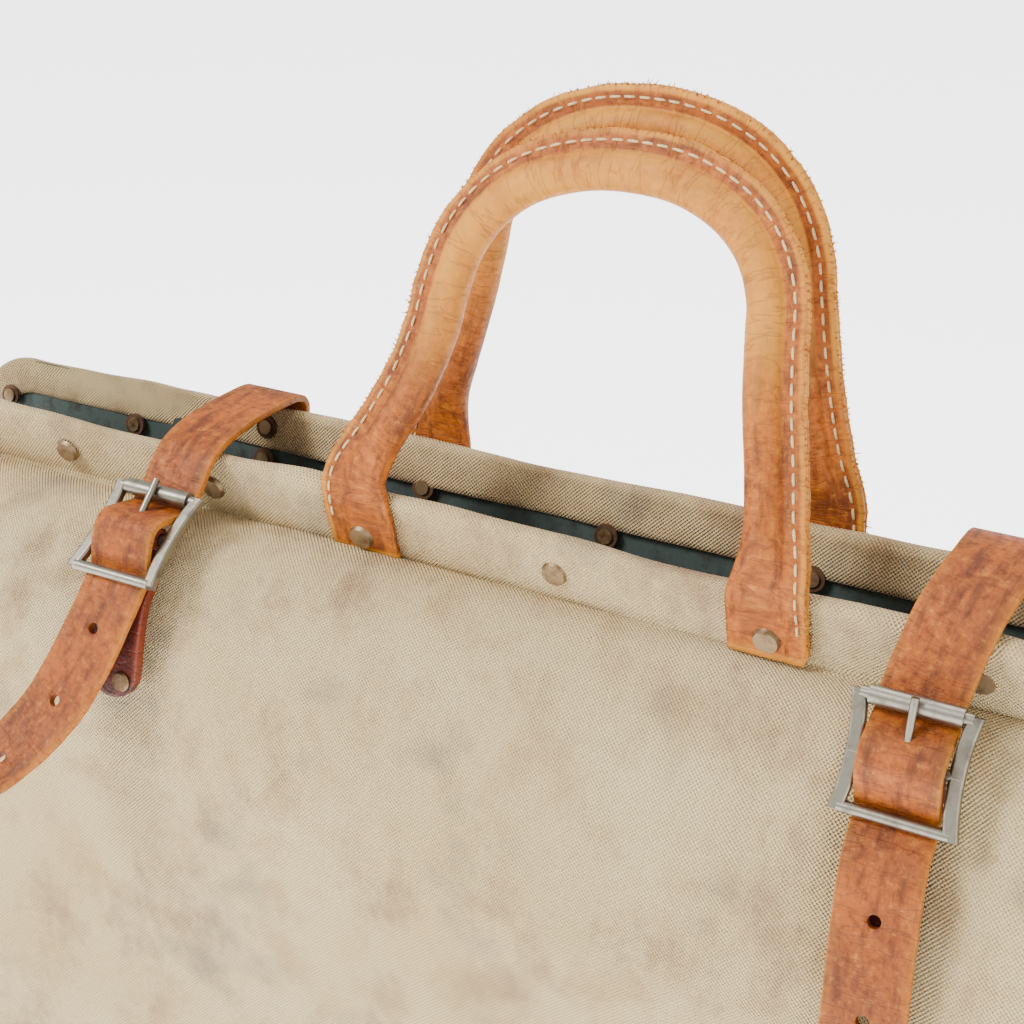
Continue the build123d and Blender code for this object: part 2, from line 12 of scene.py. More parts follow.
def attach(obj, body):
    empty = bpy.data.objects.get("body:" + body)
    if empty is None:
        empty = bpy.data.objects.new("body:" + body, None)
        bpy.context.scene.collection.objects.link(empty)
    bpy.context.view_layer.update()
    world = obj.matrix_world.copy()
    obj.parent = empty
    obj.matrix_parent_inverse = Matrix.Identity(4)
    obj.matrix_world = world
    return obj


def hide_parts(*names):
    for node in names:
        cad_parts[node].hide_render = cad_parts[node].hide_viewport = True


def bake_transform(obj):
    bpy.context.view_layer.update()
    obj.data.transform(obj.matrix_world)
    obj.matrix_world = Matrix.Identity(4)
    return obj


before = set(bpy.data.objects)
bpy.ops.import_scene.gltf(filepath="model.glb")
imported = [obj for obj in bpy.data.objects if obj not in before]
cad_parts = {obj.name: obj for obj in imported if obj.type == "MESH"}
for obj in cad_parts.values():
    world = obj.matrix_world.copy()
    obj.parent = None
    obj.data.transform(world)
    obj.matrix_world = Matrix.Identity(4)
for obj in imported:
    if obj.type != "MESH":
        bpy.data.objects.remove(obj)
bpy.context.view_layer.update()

# Driving sizes in millimetres, the same as the CAD model's
MM = 0.001
HINGE_Z = 268.0
LEAN = math.radians(14.5)
RIM_TOP = 93.2
RIM_CORNER = 35.0
RIM_HALF = 299.7
CLOTH_OUT = 2.1  # middle of the cloth from the middle of the frame bar
CLOTH_T = 1.8
BAND = 26.0  # depth of the rim canvas outside the frame
HEM = 15.5  # and inside it
BAG_HALF_X = 300.0
BAG_HALF_Y = 76.0
BAG_CORNER = 30.0
TRAY_TOP = 36.0
TRAY_OUT = 2.9  # outer face of the leather base from the canvas
STRAP_X = {"left": -146.0, "right": 127.0}
STRAP_HALF = 12.7
STRAP_T = 2.8
GRIP_R = 6.4
FLANGE_REACH = 13.5
FLANGE_HALF_T = 2.1
TAB_X = 71.0
TAB_REACH = 16.8
TAB_HALF_T = 1.35
CHAPE_HALF = 11.5
CHAPE_HALF_T = 2.1
LUG_X = 7.2
LUG_HALF = 4.1
BAR_EYE_R = 3.05
HOLE_R = 2.1
YARN_PITCH = 0.00145  # metres
FRAY_HAIRS = 1500

draw = random.Random(7)


# ---------------------------------------------------------------- shape helpers
def unit(v):
    return v / np.maximum(np.linalg.norm(v, axis=-1, keepdims=True), 1e-9)


def smooth(t):
    t = np.clip(t, 0.0, 1.0)
    return t * t * (3 - 2 * t)


def mix(a, b, t):
    return a + (b - a) * t


def on_frame(x, r, out, side):
    """A point of a mouth frame: x along the bag, r up from the hinge, out away from the mouth."""
    y = side * (r * math.sin(LEAN) + out * math.cos(LEAN))
    return np.array((x, y, HINGE_Z + r * math.cos(LEAN) - out * math.sin(LEAN)))


def field(points, size, seed):
    """Smooth noise from -1 to 1 at an array of points, with lumps of about that size."""
    shift = Vector((seed * 17.3, seed * 5.1, seed * 9.7))
    flat = np.asarray(points, float).reshape(-1, 3) / np.asarray(size, float)
    values = [noise.noise(Vector(p) + shift) for p in flat]
    return np.array(values).reshape(np.asarray(points).shape[:-1]) * 1.6


def through(points, step):
    """A smooth line through control points, sampled about every step."""
    pts = np.asarray(points, float)
    pts = np.vstack([2 * pts[0] - pts[1], pts, 2 * pts[-1] - pts[-2]])
    found = []
    for a, b, c, d in zip(pts, pts[1:], pts[2:], pts[3:]):
        count = max(2, int(np.linalg.norm(c - b) / step))
        for t in np.arange(count) / count:
            square, cube = 2 * a - 5 * b + 4 * c - d, 3 * b - a - 3 * c + d
            found.append(0.5 * (2 * b + (c - a) * t + square * t**2 + cube * t**3))
    found.append(pts[-2])
    return np.array(found)


def lengths(points):
    steps = np.linalg.norm(np.diff(points, axis=0), axis=1)
    return np.concatenate([[0.0], np.cumsum(steps)])


def build(name, verts, faces, uvs, material, body=None, values=None):
    """A smooth-shaded mesh object. verts in millimetres, uvs one for each corner of each face."""
    mesh = bpy.data.meshes.new(name)
    mesh.from_pydata((np.asarray(verts) * MM).tolist(), [], faces)
    if uvs is not None:
        layer = mesh.uv_layers.new(name="UVMap")
        layer.data.foreach_set("uv", np.asarray(uvs, np.float32).ravel())
    for key, data in (values or {}).items():
        attribute = mesh.attributes.new(key, "FLOAT", "POINT")
        attribute.data.foreach_set("value", np.asarray(data, np.float32).ravel())
    mesh.polygons.foreach_set("use_smooth", [True] * len(mesh.polygons))
    mesh.materials.append(material)
    piece = bpy.data.objects.new(name, mesh)
    bpy.context.scene.collection.objects.link(piece)
    shape = bmesh.new()
    shape.from_mesh(mesh)
    bmesh.ops.recalc_face_normals(shape, faces=shape.faces)
    shape.to_mesh(mesh)
    shape.free()
    if body:
        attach(piece, body)
    return piece


def loft(name, rings, material, body=None, values=None, loop=False):
    """A closed skin over rings of points. loop joins the last ring to the first."""
    rings = np.asarray(rings, float)
    count, around = rings.shape[:2]
    steps = np.linalg.norm(np.diff(rings, axis=0), axis=2).mean(1)
    along = np.concatenate([[0.0], np.cumsum(steps)]) * MM
    middle = np.vstack([rings[count // 2], rings[count // 2][:1]])
    ring_length = lengths(middle) * MM
    faces, uvs = [], []
    stations = count if loop else count - 1
    for i in range(stations):
        k = (i + 1) % count
        v_low = along[i]
        v_high = v_low + np.linalg.norm(rings[k] - rings[i], axis=1).mean() * MM
        for j in range(around):
            n = (j + 1) % around
            faces.append((i * around + j, k * around + j, k * around + n, i * around + n))
            u_low, u_high = ring_length[j], ring_length[j + 1]
            uvs += [(u_low, v_low), (u_low, v_high), (u_high, v_high), (u_high, v_low)]
    if not loop:
        for ring, base in ((0, 0), (count - 1, (count - 1) * around)):
            faces.append(tuple(range(base, base + around)))
            uvs += [(ring_length[j], along[ring]) for j in range(around)]
    return build(name, rings.reshape(-1, 3), faces, uvs, material, body, values)


def rounded_box(half_w, half_t, bevel, across=8):
    """Outline of a strap's section: flat faces with rounded edges, as (across, through) pairs."""
    corner = [(math.cos(a) * bevel, math.sin(a) * bevel) for a in np.radians((0, 30, 60, 90))]
    top = [(x, half_t) for x in np.linspace(half_w - bevel, bevel - half_w, across)[1:-1]]
    first = [(half_w - bevel + x, half_t - bevel + y) for x, y in corner]
    second = [(bevel - half_w - y, half_t - bevel + x) for x, y in corner]
    half = first + top + second
    return half + [(-x, -y) for x, y in half]


def sweep(centres, across, through_dir, outlines):
    """Rings of a section carried along a line. outlines is one outline, or one for each place."""
    outlines = np.asarray(outlines, float)
    if outlines.ndim == 2:
        outlines = np.repeat(outlines[None], len(centres), axis=0)
    return centres[:, None] + outlines[..., :1] * across[:, None] + outlines[..., 1:] * through_dir[:, None]


def joined(name, parts, material, body=None):
    """One mesh from many small closed shapes, each (verts, faces)."""
    verts, faces, base = [], [], 0
    for shape_verts, shape_faces in parts:
        verts.append(shape_verts)
        faces += [tuple(base + i for i in face) for face in shape_faces]
        base += len(shape_verts)
    return build(name, np.vstack(verts), faces, None, material, body)


def bead(start, end, up, radius, sides=6):
    """One stitch: a short thread that dips into the leather at both ends."""
    tangent = unit(end - start)
    side = unit(np.cross(tangent, up))
    lift = np.cross(side, tangent)
    rings = []
    profile = ((0, 0.35, -0.5), (0.12, 0.85, 0.15), (0.5, 1.0, 0.45), (0.88, 0.85, 0.15), (1, 0.35, -0.5))
    for t, size, height in profile:
        centre = start + (end - start) * t + lift * radius * height
        for k in range(sides):
            a = 2 * math.pi * k / sides
            rings.append(centre + radius * size * (math.cos(a) * side + math.sin(a) * lift))
    faces = [
        (i * sides + k, (i + 1) * sides + k, (i + 1) * sides + (k + 1) % sides, i * sides + (k + 1) % sides)
        for i in range(4)
        for k in range(sides)
    ]
    faces += [tuple(range(sides)), tuple(range(4 * sides, 5 * sides))]
    return np.array(rings), faces


def stitch_row(line, ups, pitch, share, radius):
    """Stitches along a line of points, with the outward direction at each."""
    at = lengths(line)
    parts = []
    place = pitch / 2
    while place + pitch < at[-1]:
        ends = []
        for s in (place, place + pitch * share):
            ends.append(np.array([np.interp(s, at, line[:, k]) for k in range(3)]))
        up = np.array([np.interp(place, at, ups[:, k]) for k in range(3)])
        parts.append(bead(ends[0], ends[1], unit(up), radius))
        place += pitch * draw.uniform(0.94, 1.06)
    return parts


# ---------------------------------------------------------------- materials
class Nodes:
    """Short ways to write a node tree."""

    def __init__(self, name):
        self.material = bpy.data.materials.new(name)
        self.material.use_nodes = True
        self.tree = self.material.node_tree
        self.shader = self.tree.nodes["Principled BSDF"]

    def add(self, kind, **values):
        node = self.tree.nodes.new(kind)
        for key, value in values.items():
            setattr(node, key, value)
        return node

    def put(self, socket, value):
        if isinstance(value, bpy.types.NodeSocket):
            self.tree.links.new(value, socket)
        else:
            socket.default_value = value

    def math(self, operation, a, b=0.0, clamp=False):
        node = self.add("ShaderNodeMath", operation=operation, use_clamp=clamp)
        self.put(node.inputs[0], a)
        self.put(node.inputs[1], b)
        return node.outputs[0]

    def texture(self, kind, vector, scale, detail=2.0, roughness=0.5, output=0, **values):
        node = self.add(kind, **values)
        self.put(node.inputs["Vector"], vector)
        node.inputs["Scale"].default_value = scale
        if "Detail" in node.inputs:
            node.inputs["Detail"].default_value = detail
            node.inputs["Roughness"].default_value = roughness
        return node.outputs[output]

    def ramp(self, value, low, high, flip=False):
        node = self.add("ShaderNodeMapRange")
        self.put(node.inputs["Value"], value)
        node.inputs["From Min"].default_value = low
        node.inputs["From Max"].default_value = high
        if flip:
            node.inputs["To Min"].default_value = 1.0
            node.inputs["To Max"].default_value = 0.0
        return node.outputs["Result"]

    def colour(self, factor, a, b, blend="MIX"):
        node = self.add("ShaderNodeMix", data_type="RGBA", blend_type=blend)
        self.put(node.inputs["Factor"], factor)
        self.put(node.inputs["A"], a)
        self.put(node.inputs["B"], b)
        return node.outputs["Result"]

    def stretched(self, vector, scale):
        node = self.add("ShaderNodeMapping")
        self.put(node.inputs["Vector"], vector)
        node.inputs["Scale"].default_value = scale
        return node.outputs["Vector"]

    def bump(self, height, strength, distance, normal=None):
        node = self.add("ShaderNodeBump")
        node.inputs["Strength"].default_value = strength
        node.inputs["Distance"].default_value = distance
        self.put(node.inputs["Height"], height)
        if normal is not None:
            self.put(node.inputs["Normal"], normal)
        return node.outputs["Normal"]

    def finish(self, colour, roughness, normal=None, **constants):
        self.put(self.shader.inputs["Base Color"], colour)
        self.put(self.shader.inputs["Roughness"], roughness)
        if normal is not None:
            self.put(self.shader.inputs["Normal"], normal)
        for key, value in constants.items():
            self.shader.inputs[key.replace("_", " ")].default_value = value
        return self.material


def srgb(r, g, b):
    """A colour named in ordinary display values."""
    linear = [((v / 255 + 0.055) / 1.055) ** 2.4 if v > 10 else v / 255 / 12.92 for v in (r, g, b)]
    return (*linear, 1.0)


def canvas_material(name, shade_tint=1.0):
    """Old cotton duck: plain weave, yarn slubs, yellowing, brown stains, grey smudges, specks."""
    n = Nodes(name)
    uv = n.add("ShaderNodeUVMap", uv_map="UVMap").outputs["UV"]
    wobble = n.texture("ShaderNodeTexNoise", uv, 260.0, 1.0, output=1)
    bent = n.add("ShaderNodeMix", data_type="VECTOR")
    bent.inputs["Factor"].default_value = 0.00018
    n.put(bent.inputs["A"], uv)
    n.put(bent.inputs["B"], wobble)
    split = n.add("ShaderNodeSeparateXYZ")
    n.put(split.inputs["Vector"], bent.outputs["Result"])
    yarn = 2 * math.pi / YARN_PITCH
    warp = n.math("SINE", n.math("MULTIPLY", split.outputs["X"], yarn))
    weft = n.math("SINE", n.math("MULTIPLY", split.outputs["Y"], yarn))
    weave = n.math("MULTIPLY", warp, weft)
    grain = n.texture("ShaderNodeTexNoise", uv, 1500.0, 3.0, 0.7)
    slub_a = n.texture("ShaderNodeTexNoise", n.stretched(uv, (700, 30, 1)), 1.0, 2.0)
    slub_b = n.texture("ShaderNodeTexNoise", n.stretched(uv, (30, 700, 1)), 1.0, 2.0)
    slubs = n.math("ADD", slub_a, slub_b)

    broad = n.texture("ShaderNodeTexNoise", uv, 9.0, 4.0, 0.6)
    mid = n.texture("ShaderNodeTexNoise", uv, 34.0, 5.0, 0.65)
    # A tint below 1 darkens the cream as painted shade, for the shaded copy of the canvas.
    cream = srgb(240 * shade_tint, 214 * shade_tint, 152 * shade_tint)
    base = n.colour(n.ramp(broad, 0.32, 0.7), cream, srgb(222, 186, 112))
    base = n.colour(n.math("MULTIPLY", n.ramp(mid, 0.5, 0.66), 0.6), base, srgb(186, 138, 62))
    stain = n.texture("ShaderNodeTexNoise", n.stretched(uv, (15, 19, 1)), 1.0, 6.0, 0.7)
    base = n.colour(n.math("MULTIPLY", n.ramp(stain, 0.53, 0.66), 0.7), base, srgb(140, 92, 34))
    smudge = n.texture("ShaderNodeTexNoise", n.stretched(uv, (24, 21, 5)), 1.0, 3.0, 0.55)
    base = n.colour(n.math("MULTIPLY", n.ramp(smudge, 0.57, 0.7), 0.6), base, srgb(120, 110, 84))
    specks = n.texture("ShaderNodeTexVoronoi", uv, 62.0, output=0)
    which = n.texture("ShaderNodeTexNoise", uv, 21.0, 2.0)
    speck = n.math("MULTIPLY", n.ramp(specks, 0.04, 0.1, flip=True), n.ramp(which, 0.5, 0.56))
    base = n.colour(n.math("MULTIPLY", speck, 0.7), base, srgb(70, 58, 46))
    tiny = n.texture("ShaderNodeTexVoronoi", uv, 230.0, output=0)
    scatter = n.texture("ShaderNodeTexNoise", uv, 60.0, 2.0)
    dots = n.math("MULTIPLY", n.ramp(tiny, 0.06, 0.13, flip=True), n.ramp(scatter, 0.6, 0.66))
    base = n.colour(n.math("MULTIPLY", dots, 0.55), base, srgb(96, 78, 58))
    # Painted shade: the canvas colour is darkened in the gaps between the yarns, where the weave dips.
    gaps = n.ramp(weave, -0.95, 0.25)
    weave_gap_shade = n.math("MULTIPLY", n.math("SUBTRACT", 1.0, gaps), 0.85)
    base = n.colour(weave_gap_shade, base, srgb(142, 102, 44))
    base = n.colour(n.ramp(grain, 0.3, 0.75), base, n.colour(0.22, base, srgb(250, 240, 214)))
    # Darkening from the per-vertex attribute: rust on the hem, painted shade at the hem's lower edge, and
    # darker towards the wall's bottom and the rim's top.
    grime_and_shade = n.add("ShaderNodeAttribute", attribute_name="grime_and_shade").outputs["Fac"]
    grime_and_shade_mask = n.math("MULTIPLY", grime_and_shade, n.ramp(mid, 0.3, 0.62))
    base = n.colour(n.math("MULTIPLY", grime_and_shade_mask, 0.75), base, srgb(124, 88, 50))

    height = n.math("ADD", n.math("MULTIPLY", weave, 0.5), n.math("MULTIPLY", grain, 0.6))
    height = n.math("ADD", height, n.math("MULTIPLY", slubs, 0.5))
    normal = n.bump(height, 1.0, 0.0011)
    soft = n.texture("ShaderNodeTexNoise", uv, 55.0, 3.0, 0.6)
    normal = n.bump(soft, 0.35, 0.0035, normal)
    return n.finish(base, 0.92, normal, Sheen_Weight=0.12, Sheen_Roughness=0.6)


def leather_material(name, pale, body_colour, dark, shine=0.52, coarse=1.0):
    """Worn vegetable-tanned leather: mottled tan, dark creases, scuffs, pale rubbed edges."""
    n = Nodes(name)
    uv = n.add("ShaderNodeUVMap", uv_map="UVMap").outputs["UV"]
    broad = n.texture("ShaderNodeTexNoise", uv, 26.0, 4.0, 0.6)
    fine = n.texture("ShaderNodeTexNoise", uv, 310.0 * coarse, 5.0, 0.7)
    pores = n.texture("ShaderNodeTexVoronoi", uv, 900.0, output=0)
    streak = n.texture("ShaderNodeTexNoise", n.stretched(uv, (230, 46, 1)), 1.0, 5.0, 0.65)
    wear = n.add("ShaderNodeAttribute", attribute_name="wear").outputs["Fac"]
    colour = n.colour(n.ramp(broad, 0.35, 0.66), body_colour, n.colour(0.5, body_colour, dark))
    colour = n.colour(n.math("MULTIPLY", n.ramp(streak, 0.47, 0.64), 0.8), colour, dark)
    colour = n.colour(n.math("MULTIPLY", n.ramp(fine, 0.5, 0.64), 0.62), colour, dark)
    colour = n.colour(n.math("MULTIPLY", n.ramp(fine, 0.28, 0.45, flip=True), 0.45), colour, pale)
    worn = n.math("MULTIPLY", wear, n.ramp(broad, 0.25, 0.55))
    colour = n.colour(n.math("MULTIPLY", worn, 0.85, clamp=True), colour, pale)
    crease = n.texture("ShaderNodeTexNoise", n.stretched(uv, (34, 170, 1)), 1.0, 3.0, 0.55)
    line = n.math("ABSOLUTE", n.math("SUBTRACT", crease, 0.5))
    crack = n.ramp(line, 0.0, 0.022, flip=True)
    colour = n.colour(n.math("MULTIPLY", crack, 0.35), colour, dark)
    height = n.math("ADD", n.math("MULTIPLY", fine, 0.6), n.math("MULTIPLY", pores, 0.35))
    height = n.math("SUBTRACT", height, n.math("MULTIPLY", crack, 0.5))
    normal = n.bump(height, 0.55, 0.0005)
    normal = n.bump(broad, 0.3, 0.002, normal)
    rough = n.math("ADD", shine, n.math("MULTIPLY", n.ramp(fine, 0.3, 0.7), 0.16))
    return n.finish(colour, rough, normal, Specular_IOR_Level=0.35)


def metal_material(name, base, dark, roughness, spots=0.3, metallic=1.0):
    """Plated or bare metal with a brushed grain, tarnish in the hollows and small pits."""
    n = Nodes(name)
    place = n.add("ShaderNodeTexCoord").outputs["Object"]
    cloud = n.texture("ShaderNodeTexNoise", place, 130.0, 5.0, 0.65)
    brush = n.texture("ShaderNodeTexNoise", n.stretched(place, (300, 2600, 2600)), 1.0, 2.0, 0.6)
    pits = n.texture("ShaderNodeTexVoronoi", place, 900.0, output=0)
    colour = n.colour(n.math("MULTIPLY", n.ramp(cloud, 0.48, 0.75), spots * 2, clamp=True), base, dark)
    colour = n.colour(n.math("MULTIPLY", n.ramp(pits, 0.05, 0.16, flip=True), spots), colour, dark)
    rough = n.math("ADD", roughness, n.math("MULTIPLY", n.ramp(cloud, 0.35, 0.75), 0.2))
    height = n.math("ADD", n.math("MULTIPLY", brush, 0.5), n.math("MULTIPLY", cloud, 0.5))
    return n.finish(colour, rough, n.bump(height, 0.18, 0.0003), Metallic=metallic)


def fibre_material(name, light, dark, size, roughness=0.85):
    """Thread, rope, loose fibres or board: a fine streaky fibre texture."""
    n = Nodes(name)
    place = n.add("ShaderNodeTexCoord").outputs["Object"]
    strands = n.texture("ShaderNodeTexNoise", place, size, 4.0, 0.7)
    patches = n.texture("ShaderNodeTexNoise", place, size / 14, 3.0, 0.6)
    colour = n.colour(n.ramp(strands, 0.35, 0.68), light, dark)
    colour = n.colour(n.math("MULTIPLY", n.ramp(patches, 0.5, 0.75), 0.4), colour, dark)
    return n.finish(colour, roughness, n.bump(strands, 0.5, 0.0003))


CANVAS = canvas_material("canvas_duck")
# Painted shade: a copy of the canvas darkened to 0.93 for the end folds and the inside floor of the bag.
CANVAS_SHADED = canvas_material("canvas_inside_shaded", 0.93)
LEATHER = leather_material("tan_leather", srgb(206, 132, 26), srgb(158, 76, 0), srgb(78, 30, 0))
HANDLE_LEATHER = leather_material("handle_leather", srgb(214, 144, 34), srgb(172, 88, 2), srgb(88, 36, 0))
DARK_LEATHER = leather_material("dark_leather", srgb(134, 52, 22), srgb(92, 24, 8), srgb(36, 10, 4), 0.42)
TRAY_LEATHER = leather_material(
    "tray_leather", srgb(190, 116, 28), srgb(146, 70, 2), srgb(70, 28, 0), shine=0.5, coarse=0.6
)
RAW_LEATHER = fibre_material("raw_leather_fibre", srgb(184, 96, 8), srgb(120, 54, 2), 1500.0)
THREAD = fibre_material("waxed_thread", srgb(226, 202, 152), srgb(160, 124, 78), 2600.0, 0.6)
ROPE = fibre_material("rope", srgb(206, 184, 140), srgb(140, 112, 74), 900.0)
BOARD = fibre_material("fibre_board", srgb(128, 96, 62), srgb(78, 54, 34), 240.0)
STEEL = metal_material("painted_steel", srgb(70, 82, 78), srgb(40, 34, 28), 0.42, 0.5, 0.55)
RIVETS = metal_material("tarnished_rivets", srgb(150, 128, 98), srgb(80, 56, 34), 0.4, 0.6)
BURRS = metal_material("rusty_burrs", srgb(92, 66, 46), srgb(40, 26, 18), 0.55, 0.6, 0.7)
NICKEL = metal_material("worn_nickel", srgb(142, 136, 122), srgb(66, 56, 44), 0.3, 0.4)


# ---------------------------------------------------------------- canvas body
def half_outline():
    """Stations round half of the bag, from the middle of its front to the middle of one end.

    Each is (base x, base out, rim x, rim r, rim normal x, rim normal r,
    plan normal x, plan normal out, band).
    """
    rows = []
    rim_straight, base_straight = RIM_HALF - RIM_CORNER, BAG_HALF_X - BAG_CORNER
    low = RIM_TOP - RIM_CORNER
    for t in np.linspace(0, 1, 170):
        rows.append((base_straight * t, BAG_HALF_Y, rim_straight * t, RIM_TOP, 0, 1, 0, 1, BAND))
    for t in np.linspace(0, 1, 16)[1:]:
        a = math.radians(90 * t)
        s, c = math.sin(a), math.cos(a)
        base = (base_straight + BAG_CORNER * s, BAG_HALF_Y - BAG_CORNER + BAG_CORNER * c)
        rim = (rim_straight + RIM_CORNER * s, low + RIM_CORNER * c)
        rows.append((*base, *rim, s, c, s, c, BAND))
    for t in np.linspace(0, 1, 22)[1:]:
        out, width = BAG_HALF_X, (BAG_HALF_Y - BAG_CORNER) * (1 - t)
        rim = (RIM_HALF + 1.6 * smooth(4 * t), low * (1 - t) + 2)
        rows.append((out, width, *rim, 1, 0, 1, 0, mix(BAND, 3.4, smooth(2.2 * t))))
    return np.array(rows)


def rim_rows(station, side):
    """Middle of the canvas where it folds over the frame: the hem inside, the rim, the band outside."""
    _, _, ex, er, nx, nr, _, _, band = station
    share = band / BAND
    inside = [(k, -CLOTH_OUT) for k in np.linspace(HEM * share, 2.6 * share, 7)]
    turn = np.radians(np.linspace(15, 165, 7))
    fold = [(CLOTH_OUT * (1 - math.sin(a)), -CLOTH_OUT * math.cos(a)) for a in turn]
    outside = [(k, CLOTH_OUT) for k in np.linspace(2.6 * share, band, 13)]
    return [on_frame(ex - nx * k, er - nr * k, out, side) for k, out in inside + fold + outside]


def shelf_shape(x, side):
    """How the shoulder falls at this x: full and flat on the left of the front, sloping on the right."""
    slope = smooth((x + 110) / 210) if side < 0 else 0.55
    return {
        "low": mix(250, 236, slope),
        "rise": mix(58, 40, slope),
        "lean": mix(2.0, -4.5, slope),
        "reach": mix(31, 21, slope),
        "lift": mix(12, -1, slope),
    }


def shoulder_rows(station, side, crease):
    """From the crease under the rim, out over the shoulder, down to the top of the wall."""
    bx, bo, _, _, _, _, nx, no, _ = station
    front = no**2
    shape = shelf_shape(bx, side)
    low_z = mix(254, shape["low"], front)
    bottom = np.array((bx + nx * 1.6, side * (bo + no * 1.0), low_z))
    away = np.array((nx, side * no, 0))
    gap = np.linalg.norm(crease - bottom)
    up = np.array((0, 0, 1.0))
    first = bottom + away * shape["lean"] * front + up * mix(0.3 * gap, shape["rise"], front)
    last = crease + away * mix(1.5, shape["reach"], front) + up * mix(-0.2 * gap, shape["lift"], front)
    rows = []
    for t in np.linspace(0, 1, 40)[1:]:
        u = 1 - t
        rows.append(u**3 * crease + 3 * t * u**2 * last + 3 * t * t * u * first + t**3 * bottom)
    return rows


def wall_rows(station, side, top):
    """The wall below the shoulder, a little full at mid-height, tucked into the leather base."""
    bx, bo, _, _, _, _, nx, no, _ = station
    rows = []
    for t in np.linspace(0, 1, 52)[1:]:
        z = mix(top[2], 8.0, t)
        full = 2.2 * math.sin(math.pi * np.clip((z - TRAY_TOP) / (250 - TRAY_TOP), 0, 1)) - 0.9
        settle = 1.71 * smooth((z - 190) / 60)
        rows.append((bx + nx * (full + settle), side * (bo + no * (full + settle)), z))
    return [np.array(r) for r in rows]


def folds(mid, normals, side):
    """Soft unevenness of used canvas, kept small where leather lies on it."""
    x, z = mid[..., 0], mid[..., 2]
    out = side * mid[..., 1]
    wall = smooth((z - TRAY_TOP - 4) / 40)
    shoulder = smooth((z - 235) / 40) * smooth((out - 22) / 16)
    amount = wall * (2.0 * field(mid, 95, 1 + side) + 0.9 * field(mid, 34, 4 + side))
    broad, narrow = field(mid, (30, 60, 60), 8 + side), field(mid, (12, 34, 34), 11 + side)
    amount += shoulder * (1.9 * broad + 0.9 * narrow)
    amount += 0.28 * field(mid, (26, 40, 40), 15 + side)
    if side < 0:
        for name, depth in (("left", 3.4), ("right", 6.5)):
            under = smooth((z - 255) / 20) * smooth((out - 34) / 12)
            near = np.exp(-(((x - STRAP_X[name]) / 19) ** 2)) * under
            amount = amount * (1 - 0.85 * near) - depth * near * smooth((335 - z) / 30)
    amount -= 1.6 * np.exp(-(((x + 20) / 120) ** 2)) * shoulder
    return mid + normals * amount[..., None]


def canvas_half(side, word):
    """One sewn half of the bag: hem, rim, shoulder and wall, from one end's middle to the other's."""
    half = half_outline()
    mirrored = half[:0:-1] * np.array((-1, 1, -1, 1, -1, 1, -1, 1, 1))
    grid = []
    for station in np.vstack([mirrored, half]):
        rim = rim_rows(station, side)
        shoulder = shoulder_rows(station, side, rim[-1])
        grid.append(rim + shoulder + wall_rows(station, side, shoulder[-1]))
    grid = np.array(grid)
    along, down = np.gradient(grid, axis=0), np.gradient(grid, axis=1)
    normals = unit(np.cross(along, down))
    if (normals[len(grid) // 2, -20, 1] * side) < 0:
        normals = -normals
    grid = folds(grid, normals, side)
    outer = grid + normals * CLOTH_T / 2
    inner = grid - normals * CLOTH_T / 2
    rings = np.concatenate([outer, inner[:, ::-1]], axis=1)
    # Darkening per vertex: rust on the hem's inner face against the frame bar, and painted shade fading up
    # from the hem's lower edge on its visible face.
    hem_rust_and_shade = np.zeros(rings.shape[:2])
    hem_rust_and_shade[:, -6:] = 0.9
    hem_rust_and_shade[:, :4] = (0.9, 0.7, 0.4, 0.2)
    # Darker towards the bottom of the wall and near the top of the rim.
    low = smooth((120 - rings[..., 2]) / 90) * 0.45
    near_rim = smooth((rings[..., 2] - 338) / 20) * 0.25
    values = {"grime_and_shade": hem_rust_and_shade + low + near_rim}
    piece = loft(f"{word}_canvas", rings, CANVAS, values=values)
    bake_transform(piece)
    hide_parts(f"{word}_panel", f"{word}_rim_canvas", f"{word}_shoulder")
    return piece


front_canvas = canvas_half(-1, "front")
canvas_half(1, "rear")
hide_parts("gusset_left", "gusset_right")


def end_fan(side_x, word):
    """Bellows fold that closes the end of the mouth between the two frames."""
    rings = []
    for t in np.linspace(0, 1, 22):
        z = mix(252, 316, t)
        half = mix(47, 17.5, t)
        ring = []
        for thickness in (0.8, -0.8):
            places = np.linspace(-1, 1, 25)
            for p in places if thickness > 0 else places[::-1]:
                y = half * p
                tuck = 11 * smooth(1 - abs(y) / mix(3.0, 13, t)) * smooth(t * 3)
                x = BAG_HALF_X - 1.1 - tuck + thickness
                ring.append((side_x * x, y, z + 2.2 * math.cos(p * 1.5) * t))
        rings.append(ring)
    rings = np.array(rings)
    piece = loft(f"end_fold_{word}", rings, CANVAS_SHADED, "bag")
    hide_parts(f"gusset_fold_{word}")


end_fan(-1, "left")
end_fan(1, "right")


# ---------------------------------------------------------------- leather base
def base_outline(inset, count=24):
    """Rounded rectangle round the foot of the bag."""
    half_x, half_y = BAG_HALF_X + TRAY_OUT - inset, BAG_HALF_Y + TRAY_OUT - inset
    radius = max(BAG_CORNER + TRAY_OUT - inset, 1.0)
    ring = []
    for k, (sx, sy) in enumerate(((1, 1), (-1, 1), (-1, -1), (1, -1))):
        for a in np.radians(np.linspace(90 * k, 90 * k + 90, count)):
            corner = (sx * (half_x - radius), sy * (half_y - radius))
            ring.append((corner[0] + radius * math.cos(a), corner[1] + radius * math.sin(a)))
        if k % 2 == 0:
            run = np.linspace(sx * (half_x - radius), -sx * (half_x - radius), 90)[1:-1]
            ring += [(x, sy * half_y) for x in run]
        else:
            run = np.linspace(sy * (half_y - radius), -sy * (half_y - radius), 26)[1:-1]
            ring += [(sx * half_x, y) for y in run]
    return np.array(ring)


